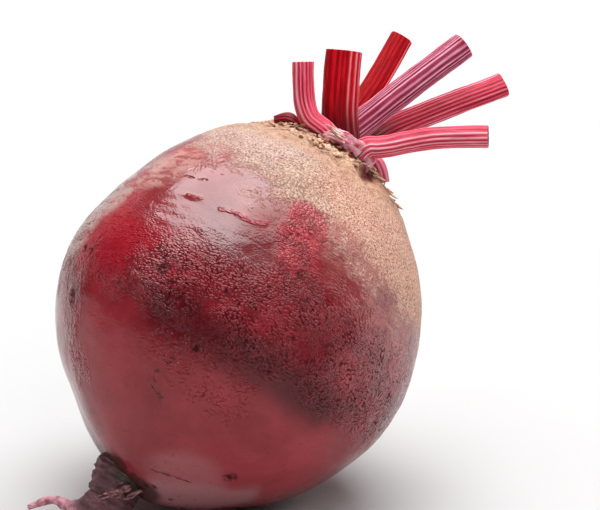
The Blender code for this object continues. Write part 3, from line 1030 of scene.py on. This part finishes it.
def cork_colour(n, netting):
    """Tan cork with a fine net of cracks, rosy and ashen in places, and golden round the stalks."""
    rosy = n.step(n.noise(n.place, 0.008, 5.0, 0.65), 0.45, 0.62, 0.0, 0.62)
    golden = n.step(n.ruffled, 0.081, 0.09)
    stain = n.times(n.patch("right_stain"), n.step(n.noise(n.place, 0.0022, 4.0, 0.7), 0.38, 0.56))
    tan = n.ramp(n.noise(n.warped, 0.005, 6.0, 0.7), TANS)
    tan = n.mix(rosy, tan, rgb(0.52, 0.185, 0.15))
    tan = n.paint(tan, n.patch("lit_side"), 0.65, (0.81, 0.38, 0.25))
    tan = n.paint(tan, n.patch("ashen"), 0.45, (0.64, 0.46, 0.43))
    tan = n.mix(n.step(netting, 0.52, 0.62, 0.0, 0.85), tan, rgb(0.21, 0.07, 0.045))
    tan = n.mix(n.step(netting, 0.46, 0.36, 0.0, 0.7), tan, rgb(0.88, 0.68, 0.54))
    tan = n.mix(n.times(golden, 0.8), tan, n.ramp(n.noise(n.place, 0.0024, 5.0, 0.75), OCHRES))
    return n.paint(tan, stain, 0.75, (0.4, 0.09, 0.085))


def skin_gloss(n, matt):
    """Glossier towards the crown, duller on plain crimson and calm red, and dullest on the matt places."""
    crimson_only = n.times(n.vivid, n.scaled(n.glare, -0.85, 1.0))
    gloss = n.times(n.step(n.height, 0.034, 0.056, 0.32, 0.85), n.scaled(crimson_only, -0.92, 1.0))
    gloss = n.times(gloss, n.scaled(n.highest(n.dull, n.patch("calm_red")), -0.6, 1.0))
    return n.times(gloss, n.scaled(n.highest(*matt), -0.8, 1.0))


def skin_material():
    """Crimson, leathery skin that turns to tan, netted cork towards the crown."""
    n = Nodes("beet skin")
    add_skin_places(n)
    level = cork_level(n)
    cork = n.step(level, -0.004, 0.004)
    relief, strength = leather_relief(n)
    # Painted shade: the gaps between the pebbles, painted dark in the red skin
    painted_crevice_shade = n.times(n.step(relief, 0.58, 0.44), strength)
    earth = n.patch("earthy")
    earthy = n.times(n.step(earth, 0.15, 0.75), n.step(n.noise(n.place, 0.003, 4.0, 0.6), 0.34, 0.52))
    earthy = n.highest(earthy, n.step(earth, 0.6, 0.95))
    netting = n.noise(n.place, 0.00044, 2.0, 0.6)
    crust = n.scaled(n.noise(n.warped, 0.0017, 5.0, 0.75), 0.6, n.times(netting, 0.5))

    fringe = n.times(n.step(level, -0.012, -0.002), n.step(level, 0.01, 0.001))
    red = red_skin(n, relief, strength, painted_crevice_shade, earthy)
    red = n.paint(red, fringe, 0.3, (0.48, 0.14, 0.125))
    colour = n.mix(cork, red, cork_colour(n, netting))

    scar = n.times(n.marks(n.warped, SCARS, 1.6), n.step(n.noise(n.around, 0.001, 3.0), 0.34, 0.5))
    cut = n.times(n.marks(n.warped, SCRATCHES, 2.2), n.step(n.noise(n.place, 0.0011, 3.0), 0.36, 0.52))
    pit = n.times(n.marks(n.warped, PITS, 1.9), n.step(n.noise(n.place, 0.0009, 3.0), 0.4, 0.52))
    hollow_shade = n.marks(n.warped, SHADED_HOLLOWS, 1.0)
    colour = n.paint(colour, scar, 0.85, (0.47, 0.055, 0.085))
    colour = n.paint(colour, cut, 0.75, (0.11, 0.008, 0.012))
    colour = n.paint(colour, pit, 0.85, (0.035, 0.008, 0.008))
    # Painted shade: the crown's centre under the stalks is darkened
    colour = n.mix(n.step(n.patch("crown_centre_shade"), 0.3, 0.62), colour, rgb(0.085, 0.008, 0.01))
    # Painted shade: the hollows beside the torn leaf bases are painted near black
    colour = n.paint(colour, hollow_shade, 0.96, (0.09, 0.003, 0.005))

    heights = n.times(relief, strength, n.math("SUBTRACT", 1.0, cork))
    heights = n.add(heights, n.times(crust, n.times(cork, 1.4)))
    heights = n.scaled(n.times(scar, relief), 0.6, heights)
    heights = n.scaled(n.add(cut, pit), -0.28, heights)
    n.bump(heights, 0.0008, 0.85)
    rough = n.scaled(n.highest(painted_crevice_shade, pit), 0.3, 0.15)
    rough = n.scaled(n.math("SUBTRACT", 0.56, rough), cork, rough)
    return n.finish(colour, rough, skin_gloss(n, (painted_crevice_shade, pit, earthy, hollow_shade)))


def root_material():
    """Dull, earthy maroon with a greenish scaly top and a pinker tail."""
    n = Nodes("taproot")
    banded = n.stretch(n.place, (0.35, 0.35, 1.0))
    base = n.ramp(n.noise(banded, 0.0018, 5.0, 0.7), MAROONS)
    side = n.stroke(n.place, (-0.004, -0.007, 0.0035), (-0.001, -0.006, 0.002), 0.006)
    base = n.mix(n.times(side, 0.85), base, n.ramp(n.noise(n.place, 0.002, 5.0, 0.7), EARTHS))
    away = n.vector("DISTANCE", n.place, (-0.004, 0.0, 0.003), "Value")
    base = n.mix(n.step(away, 0.0125, 0.017), base, n.ramp(n.noise(n.place, 0.0015, 4.0, 0.6), TAIL_PINKS))
    top = n.add(n.along(2, n.place), n.scaled(n.noise(n.place, 0.003, 4.0), 0.006, -0.003))
    base = n.mix(n.step(top, 0.003, 0.0055), base, rgb(0.095, 0.04, 0.036))
    folds = n.noise(banded, 0.0012, 4.0, 0.7)
    n.bump(n.scaled(n.noise(n.place, 0.0005, 3.0, 0.7), 0.35, folds), 0.0006, 0.9)
    return n.finish(base, 0.52, 0.5)


def stalk_material(look):
    """Deep grooves and paler crests, with fine streaks that run lengthwise, and painted shade that darkens
    each stalk towards its foot.
    """
    n = Nodes("stalk " + look)
    groove, body, crest_colour = STALK_COLOURS[look]
    shade_start, shade_end = STALK_PAINTED_SHADE[look]
    fibre = n.kept("fibre", "Vector")
    streaks = n.noise(n.stretch(fibre, (10.0, 10.0, 0.5)), 1.0, 4.0, 0.65)
    patches = n.noise(n.stretch(fibre, (1.6, 1.6, 1.2)), 1.0, 3.0, 0.6)
    depth = n.add(n.kept("crest"), n.scaled(streaks, 0.9, -0.45))
    depth = n.add(depth, n.scaled(patches, 0.8, -0.4))
    colour = n.ramp(depth, ((0.0, groove), (0.28, body), (0.52, body), (0.92, crest_colour)))
    reach_up = n.add(n.along(2, fibre), n.scaled(streaks, -1.6, 0.8))
    # Painted shade: each stalk darkens towards its foot in the crown, broken into streaks
    colour = n.mix(n.step(reach_up, shade_end, shade_start, 0.0, 0.88), colour, rgb(0.07, 0.005, 0.008))
    n.bump(n.noise(n.stretch(fibre, (18.0, 18.0, 1.0)), 1.0, 3.0, 0.6), 0.00025, 0.5)
    return n.finish(colour, 0.36, STALK_GLOSS[look], (0.3, (1.0, 0.25, 0.25), 0.0016))


def cut_end_material():
    """The moist cut face: pale rose flesh with darker bundle dots."""
    n = Nodes("stalk cut face")
    flesh = n.ramp(n.noise(n.place, 0.0009, 4.0, 0.7), FLESH)
    dots = n.step(n.cells(n.place, 1000.0), 0.34, 0.2, 0.0, 0.8)
    n.bump(n.noise(n.place, 0.0005, 3.0), 0.0003, 0.6)
    return n.finish(n.mix(dots, flesh, rgb(0.16, 0.006, 0.014)), 0.38)


def sheath_material():
    """Torn leaf bases round the stalks: streaky pink at the front, brown and corky elsewhere."""
    n = Nodes("torn leaf base")
    streaks = n.noise(n.stretch(n.kept("fibre", "Vector"), (1.6, 1.6, 1.0)), 1.0, 3.0, 0.55)
    lumps = n.noise(n.place, 0.0017, 3.0, 0.55)
    pink = n.ramp(n.scaled(streaks, 0.5, n.times(lumps, 0.5)), SHEATH_PINKS)
    brown = n.ramp(n.noise(n.place, 0.0013, 5.0, 0.7), SHEATH_BROWNS)
    edge = n.add(n.kept("tint"), n.scaled(n.noise(n.place, 0.002, 4.0), 0.6, -0.3))
    n.bump(n.scaled(lumps, 1.2, n.noise(n.place, 0.0007, 3.0, 0.6)), 0.0005, 0.7)
    return n.finish(n.mix(n.step(edge, 0.35, 0.65), brown, pink), 0.42, None, (0.25, (1.0, 0.4, 0.4), 0.001))


def shred_material(name, dark, middle, pale, size):
    """Dry shreds with uneven colour along them."""
    n = Nodes(name)
    colour = n.ramp(n.noise(n.place, size, 4.0, 0.7), ((0.36, dark), (0.5, middle), (0.64, pale)))
    n.bump(n.noise(n.place, size * 0.4, 3.0, 0.7), 0.0004, 0.8)
    return n.finish(colour, 0.58)


def around_crown(bearing, radius, height):
    angle = math.radians(bearing)
    return Vector((radius * math.cos(angle), radius * math.sin(angle), height))


def crown_height(radius):
    """The height of the crown's plain skin at a distance from the axis."""
    return BELLY_HEIGHT + CROWN_RISE * math.sqrt(1.0 - (radius / BELLY_RADIUS) ** 2)


def within(span, bearing):
    """1 inside a span of bearings, given as where it starts, is full, starts to fade and ends."""
    start, full, fading, end = span
    return float(blend(start, full, bearing) * (1.0 - blend(fading, end, bearing)))


def sheath_ring(bearing):
    """The points round the torn rim at one bearing, and how far the bearing is at the front."""
    angle = math.radians(bearing)
    front = within(SHEATH_FRONT, bearing)
    wander = noise.noise(Vector((math.cos(angle) * 2.0, math.sin(angle) * 2.0, 4.0)))
    ragged = noise.noise(Vector((math.cos(angle) * 9.0, math.sin(angle) * 9.0, 2.0)))
    radius = SHEATH_RADIUS + 0.0016 * front + 0.001 * wander
    tall = within(SHEATH_TALL, bearing)
    half_height = SHEATH_HALF_HEIGHT + 0.0007 * front + 0.0006 * tall + 0.0004 * wander + 0.0003 * ragged
    half_depth = SHEATH_HALF_DEPTH - 0.0003 * front
    middle = around_crown(bearing, radius, crown_height(radius) + 0.0002 + 0.0014 * front + 0.0007 * tall)
    outward = Vector((math.cos(angle), math.sin(angle), 0.0))
    points = []
    for row in range(SHEATH_ROWS):
        turn = 2.0 * math.pi * row / SHEATH_ROWS
        lean = SHEATH_LEAN * half_height * math.sin(turn)
        place = middle + outward * (half_depth * math.cos(turn) + lean)
        place.z += half_height * math.sin(turn)
        lumps = (0.0007 - 0.0001 * front) * noise.noise(place / SHEATH_LUMP_SIZE)
        lumps += (0.0004 - 0.0002 * front) * noise.noise(place / SHEATH_GRAIN_SIZE)
        lumps += 0.0001 * front * math.cos(7.0 * turn + 3.0 * wander)
        points.append(place + (outward * math.cos(turn) + UP * math.sin(turn)) * lumps)
    return points, front


def build_sheath(material):
    """The torn rim of leaf bases that clasps the stalks: tall at the front, low and lumpy elsewhere."""
    bm = bmesh.new()
    tint_layer = bm.verts.layers.float.new("tint")
    fibre_layer = bm.verts.layers.float_vector.new("fibre")
    rings = []
    for column in range(SHEATH_COLUMNS):
        bearing = 360.0 * column / SHEATH_COLUMNS - 180.0
        points, front = sheath_ring(bearing)
        ring = []
        for row, place in enumerate(points):
            turn = 2.0 * math.pi * row / SHEATH_ROWS
            vert = bm.verts.new(place)
            vert[tint_layer] = front
            vert[fibre_layer] = Vector((math.cos(turn) * 2.0, math.sin(turn) * 2.0, bearing / 20.0))
            ring.append(vert)
        rings.append(ring)
    join_rings(bm, rings + [rings[0]])
    return finish_piece(bm, "leaf_base_sheath", [material], 80.0)


def scattered(seed, count, *spans):
    """Random places round the crown: the bearing, distance from the axis, length and lift of each."""
    choose = random.Random(seed)
    return [tuple(choose.uniform(*span) for span in spans) for index in range(count)]


def build_fibres(name, material, places, radii, turns, seed):
    """Frayed fibres that lie round the crown."""
    choose = random.Random(seed)
    bm = bmesh.new()
    for bearing, radius, length, above in places:
        lift = choose.uniform(-0.1, 0.5)
        bend = choose.uniform(-0.6, 0.6)
        turned = choose.choice(turns)
        points = []
        for step in range(FIBRE_STEPS + 1):
            share = step / FIBRE_STEPS
            swing = math.degrees(length / radius) * turned * share
            rise = length * (lift * share + bend * share * share) * 0.5
            out = length * 0.1 * math.sin(3.0 * share + seed + bearing)
            points.append(around_crown(bearing + swing, radius + out, crown_height(radius) + above + rise))
        add_strand(bm, points, choose.uniform(*radii))
    return finish_piece(bm, name, [material])


def add_scale(bm, centre, along, facing, length, width, thickness, seed, curled):
    """A torn scale: a leaf-shaped plate, thin at its edge, with a ragged outline and a curl."""
    across = along.cross(facing).normalized()
    rings = []
    for step in range(SCALE_STEPS + 1):
        share = step / SCALE_STEPS
        outline = math.sin(math.pi * min(max(share, 0.04), 0.96)) ** 0.6
        ragged = 1.0 + 0.35 * noise.noise(Vector((share * 5.0, seed, 0.0)))
        half_width = width / 2.0 * outline * ragged
        half_depth = thickness / 2.0 * outline
        middle = centre + along * (length * (share - 0.5)) + facing * (curled * length * share * share)
        ring = []
        for side in range(SCALE_SIDES):
            turn = 2.0 * math.pi * side / SCALE_SIDES
            place = middle + across * (half_width * math.cos(turn)) + facing * (half_depth * math.sin(turn))
            place += facing * SCALE_GRAIN_DEPTH * noise.noise(place / SCALE_GRAIN_SIZE)
            ring.append(bm.verts.new(place))
        rings.append(ring)
    join_rings(bm, rings)
    bm.faces.new(reversed(rings[0]))
    bm.faces.new(rings[-1])


def build_scales(name, material, places, form, seed):
    """Scales or lumps that hug the crown, and keep off the hollows that are painted dark as shade."""
    most_turned, widths, depths, curled = form
    choose = random.Random(seed)
    bm = bmesh.new()
    for bearing, radius, length, lift in places:
        if any(low < bearing < high for low, high in BARE_SPANS):
            continue
        base = around_crown(bearing, radius, crown_height(radius) + lift)
        outward = around_crown(bearing, 1.0, 0.0)
        normal = (outward * (radius / BELLY_RADIUS) + UP).normalized()
        ahead = (outward - normal * outward.dot(normal)).normalized()
        spin = Matrix.Rotation(choose.uniform(-most_turned, most_turned), 3, normal)
        add_scale(bm, base, spin @ ahead, normal, length, length * choose.uniform(*widths),
                  length * choose.uniform(*depths), choose.uniform(0.0, 50.0), curled)
    return finish_piece(bm, name, [material])


def build_rootlets(material):
    """Thin pink rootlets that hug the taproot."""
    choose = random.Random(ROOTLET_SEED)
    bm = bmesh.new()
    for index in range(ROOTLET_COUNT):
        aside = choose.uniform(-0.0026, 0.0026)
        start = Vector((-0.0024 + aside, -0.006, -0.0004 + choose.uniform(-0.002, 0.0012)))
        drift = choose.uniform(-0.0012, 0.0012)
        points = []
        for step in range(ROOTLET_STEPS + 1):
            share = step / ROOTLET_STEPS
            run = Vector((-0.0026 * share + drift * share, -0.0002 + 0.0013 * share, -0.0036 * share))
            wave = noise.noise(Vector((share * 5.0, index * 3.1, 0.0)))
            points.append(start + run + Vector((0.0012 * wave, 0.0, 0.0008 * wave)))
        add_strand(bm, points, choose.uniform(*ROOTLET_RADII), ROOTLET_SIDES)
    return finish_piece(bm, "rootlets", [material])


def soft_box(name, width, depth, place, radiance):
    """An even rectangular light that faces the beetroot."""
    lamp = bpy.data.lights.new(name, "AREA")
    lamp.shape = "RECTANGLE"
    lamp.size = width
    lamp.size_y = depth
    lamp.energy = radiance * math.pi * width * depth
    item = bpy.data.objects.new(name, lamp)
    facing = (BELLY_CENTRE - place).to_track_quat("-Z", "Y")
    item.matrix_world = Matrix.Translation(place) @ facing.to_matrix().to_4x4()
    item.visible_camera = False
    bpy.context.scene.collection.objects.link(item)
    return item


def camera_axes():
    azimuth = math.radians(VIEW_AZIMUTH)
    elevation = math.radians(VIEW_ELEVATION)
    back = Vector((math.sin(azimuth) * math.cos(elevation), -math.cos(azimuth) * math.cos(elevation),
                   math.sin(elevation)))
    right = Vector((math.cos(azimuth), math.sin(azimuth), 0.0))
    return right, back.cross(right), back


def build_camera():
    right, up, back = camera_axes()
    lens = bpy.data.cameras.new("camera")
    lens.sensor_width = SENSOR_WIDTH
    lens.lens = SENSOR_WIDTH * VIEW_DISTANCE / VIEW_WIDTH
    lens.clip_start = CLIP_START
    lens.clip_end = CLIP_END
    eye = bpy.data.objects.new("camera", lens)
    aim = BELLY_CENTRE + right * AIM_RIGHT + up * AIM_UP
    turned = Matrix((right, up, back)).transposed().to_4x4()
    eye.matrix_world = Matrix.Translation(aim + back * VIEW_DISTANCE) @ turned
    bpy.context.scene.collection.objects.link(eye)
    bpy.context.scene.camera = eye


def build_floor():
    """A round pale table top."""
    bm = bmesh.new()
    bmesh.ops.create_circle(bm, cap_ends=True, segments=128, radius=FLOOR_RADIUS)
    mesh = bpy.data.meshes.new("floor")
    bm.to_mesh(mesh)
    bm.free()
    material = bpy.data.materials.new("pale floor")
    material.use_nodes = True
    shader = material.node_tree.nodes["Principled BSDF"]
    shader.inputs["Base Color"].default_value = rgb(FLOOR_GREY, FLOOR_GREY, FLOOR_GREY)
    shader.inputs["Roughness"].default_value = 0.9
    mesh.materials.append(material)
    floor = bpy.data.objects.new("floor", mesh)
    floor.location.z = -FLOOR_DROP
    bpy.context.scene.collection.objects.link(floor)


def build_room():
    """A room that is pale where it is seen behind, and lights the beetroot only faintly."""
    world = bpy.data.worlds.new("pale room")
    bpy.context.scene.world = world
    world.use_nodes = True
    tree = world.node_tree
    dim = tree.nodes["Background"]
    dim.inputs["Color"].default_value = rgb(1.0, 1.0, 1.0)
    dim.inputs["Strength"].default_value = ROOM_LIGHT
    pale = tree.nodes.new("ShaderNodeBackground")
    pale.inputs["Strength"].default_value = ROOM_SEEN
    seen = tree.nodes.new("ShaderNodeLightPath")
    pick = tree.nodes.new("ShaderNodeMixShader")
    tree.links.new(seen.outputs["Is Camera Ray"], pick.inputs[0])
    tree.links.new(dim.outputs[0], pick.inputs[1])
    tree.links.new(pale.outputs[0], pick.inputs[2])
    tree.links.new(pick.outputs[0], tree.nodes["World Output"].inputs[0])
    bpy.context.scene.view_settings.view_transform = "Standard"


def build_studio():
    """One large soft box overhead, a fill from the right and from the front, and a panel behind."""
    right, up, back = camera_axes()
    front = Vector((back.x, back.y, 0.0)).normalized()
    overhead = BELLY_CENTRE + right * BOX_RIGHT + front * BOX_FRONT + UP * BOX_HEIGHT
    box = soft_box("overhead soft box", BOX_WIDTH, BOX_DEPTH, overhead, BOX_RADIANCE)
    level = Matrix((right, -front, UP)).transposed().to_4x4()
    box.matrix_world = Matrix.Translation(overhead) @ level @ Matrix.Rotation(math.radians(BOX_TURN), 4, "Z")
    for name, (width, depth, (aside, ahead, above), radiance) in FILLS.items():
        place = BELLY_CENTRE + right * aside + front * ahead + UP * above
        soft_box(name, width, depth, place, radiance)


def crown_pieces():
    """The torn leaf bases, fibres, scales and lumps round the stalks."""
    shreds = {name: shred_material(name, *look) for name, look in SHREDS.items()}
    made = [(build_rootlets(shreds["rootlet skin"]), "skin"), (build_sheath(sheath_material()), "stub")]
    for name, (look, places, radii, turns, seed) in FIBRES.items():
        made.append((build_fibres(name, shreds[look], scattered(*places), radii, turns, seed), "stub"))
    for name, (look, places, further, form, seed) in SCALES.items():
        made.append((build_scales(name, shreds[look], scattered(*places) + further, form, seed), "stub"))
    return made


def main():
    skin = build_skin(skin_material())
    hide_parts("beet_root")
    on_root = [(skin, "skin"), (build_taproot(root_material()), "skin")]
    for piece, slot in on_root + crown_pieces():
        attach(piece, "root")
    stalk_looks = {look: stalk_material(look) for look in STALK_COLOURS}
    cut_look = cut_end_material()
    for seed, (name, form) in enumerate(STALKS.items()):
        stalk = build_stalk(name, form, [stalk_looks[form["look"]], cut_look], seed)
        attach(stalk, "root")
        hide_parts(name)

    build_floor()
    build_room()
    build_studio()
    build_camera()


main()
